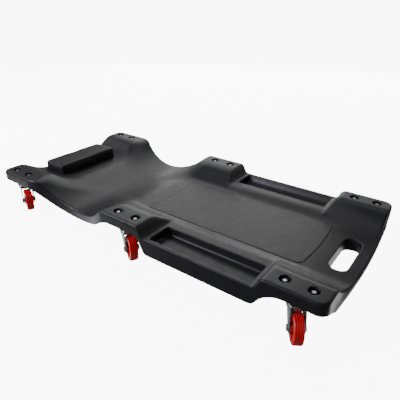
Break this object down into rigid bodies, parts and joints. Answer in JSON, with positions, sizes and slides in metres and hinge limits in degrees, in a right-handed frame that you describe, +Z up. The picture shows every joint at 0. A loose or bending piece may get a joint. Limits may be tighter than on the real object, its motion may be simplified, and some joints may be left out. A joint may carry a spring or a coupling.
{
  "type": "mechanics creeper",
  "caption": "Low rolling board for lying under a car: moulded deck with tool trays, carrying slot and headrest pad, on swivel casters.",
  "frame": {"origin": "on the floor under the middle of the deck", "axes": "+X along the deck from the headrest to the carrying slot, +Y to the left of a person lying on the deck, +Z up"},
  "size_m": [1.003, 0.525, 0.113],
  "materials": {
    "deck_plastic": "satin charcoal-black blow-moulded polyethylene with a fine grain",
    "board": "plain plywood backing board",
    "foam": "grey open-cell foam",
    "vinyl": "black grained vinyl with a soft sheen",
    "zinc_steel": "bright zinc-plated pressed steel",
    "ball_steel": "polished bearing steel",
    "black_steel": "black oxide nuts",
    "wheel_core": "dark red moulded wheel centre",
    "wheel_tread": "glossy red polyurethane tread"
  },
  "bodies": {
    "deck": {"deck": "deck_plastic", "headrest_board": "board", "headrest_foam": "foam", "headrest_cover": "vinyl", "headrest_screws": "zinc_steel", "caster_bolts": "zinc_steel", "caster_washers": "zinc_steel", "caster_nuts": "black_steel", "head_right_plate": "zinc_steel", "head_right_balls": "ball_steel", "head_right_kingpin": "zinc_steel", "head_left_plate": "zinc_steel", "head_left_balls": "ball_steel", "head_left_kingpin": "zinc_steel", "mid_right_plate": "zinc_steel", "mid_right_balls": "ball_steel", "mid_right_kingpin": "zinc_steel", "mid_left_plate": "zinc_steel", "mid_left_balls": "ball_steel", "mid_left_kingpin": "zinc_steel", "foot_right_plate": "zinc_steel", "foot_right_balls": "ball_steel", "foot_right_kingpin": "zinc_steel", "foot_left_plate": "zinc_steel", "foot_left_balls": "ball_steel", "foot_left_kingpin": "zinc_steel"},
    "head_right_swivel": {"head_right_fork": "zinc_steel", "head_right_axle": "zinc_steel", "head_right_bushing": "zinc_steel"},
    "head_right_wheel": {"head_right_core": "wheel_core", "head_right_tread": "wheel_tread"},
    "head_left_swivel": {"head_left_fork": "zinc_steel", "head_left_axle": "zinc_steel", "head_left_bushing": "zinc_steel"},
    "head_left_wheel": {"head_left_core": "wheel_core", "head_left_tread": "wheel_tread"},
    "mid_right_swivel": {"mid_right_fork": "zinc_steel", "mid_right_axle": "zinc_steel", "mid_right_bushing": "zinc_steel"},
    "mid_right_wheel": {"mid_right_core": "wheel_core", "mid_right_tread": "wheel_tread"},
    "mid_left_swivel": {"mid_left_fork": "zinc_steel", "mid_left_axle": "zinc_steel", "mid_left_bushing": "zinc_steel"},
    "mid_left_wheel": {"mid_left_core": "wheel_core", "mid_left_tread": "wheel_tread"},
    "foot_right_swivel": {"foot_right_fork": "zinc_steel", "foot_right_axle": "zinc_steel", "foot_right_bushing": "zinc_steel"},
    "foot_right_wheel": {"foot_right_core": "wheel_core", "foot_right_tread": "wheel_tread"},
    "foot_left_swivel": {"foot_left_fork": "zinc_steel", "foot_left_axle": "zinc_steel", "foot_left_bushing": "zinc_steel"},
    "foot_left_wheel": {"foot_left_core": "wheel_core", "foot_left_tread": "wheel_tread"}
  },
  "joints": [
    {"name": "head_right_turn", "type": "hinge", "parent": "deck", "child": "head_right_swivel", "pos_m": [-0.4415, -0.211, 0.084], "axis": [0, 0, 1], "continuous": true},
    {"name": "head_right_roll", "type": "hinge", "parent": "head_right_swivel", "child": "head_right_wheel", "pos_m": [-0.41903, -0.22196, 0.03175], "axis": [0.4384, 0.8988, 0], "continuous": true},
    {"name": "head_left_turn", "type": "hinge", "parent": "deck", "child": "head_left_swivel", "pos_m": [-0.4415, 0.211, 0.084], "axis": [0, 0, 1], "continuous": true},
    {"name": "head_left_roll", "type": "hinge", "parent": "head_left_swivel", "child": "head_left_wheel", "pos_m": [-0.41903, 0.22196, 0.03175], "axis": [-0.4384, 0.8988, 0], "continuous": true},
    {"name": "mid_right_turn", "type": "hinge", "parent": "deck", "child": "mid_right_swivel", "pos_m": [-0.0115, -0.211, 0.084], "axis": [0, 0, 1], "continuous": true},
    {"name": "mid_right_roll", "type": "hinge", "parent": "mid_right_swivel", "child": "mid_right_wheel", "pos_m": [0.00993, -0.22388, 0.03175], "axis": [0.515, 0.8572, 0], "continuous": true},
    {"name": "mid_left_turn", "type": "hinge", "parent": "deck", "child": "mid_left_swivel", "pos_m": [-0.0115, 0.211, 0.084], "axis": [0, 0, 1], "continuous": true},
    {"name": "mid_left_roll", "type": "hinge", "parent": "mid_left_swivel", "child": "mid_left_wheel", "pos_m": [0.00993, 0.22388, 0.03175], "axis": [-0.515, 0.8572, 0], "continuous": true},
    {"name": "foot_right_turn", "type": "hinge", "parent": "deck", "child": "foot_right_swivel", "pos_m": [0.4295, -0.211, 0.084], "axis": [0, 0, 1], "continuous": true},
    {"name": "foot_right_roll", "type": "hinge", "parent": "foot_right_swivel", "child": "foot_right_wheel", "pos_m": [0.44312, -0.23197, 0.03175], "axis": [0.8387, 0.5446, 0], "continuous": true},
    {"name": "foot_left_turn", "type": "hinge", "parent": "deck", "child": "foot_left_swivel", "pos_m": [0.4295, 0.211, 0.084], "axis": [0, 0, 1], "continuous": true},
    {"name": "foot_left_roll", "type": "hinge", "parent": "foot_left_swivel", "child": "foot_left_wheel", "pos_m": [0.44312, 0.23197, 0.03175], "axis": [-0.8387, 0.5446, 0], "continuous": true}
  ]
}
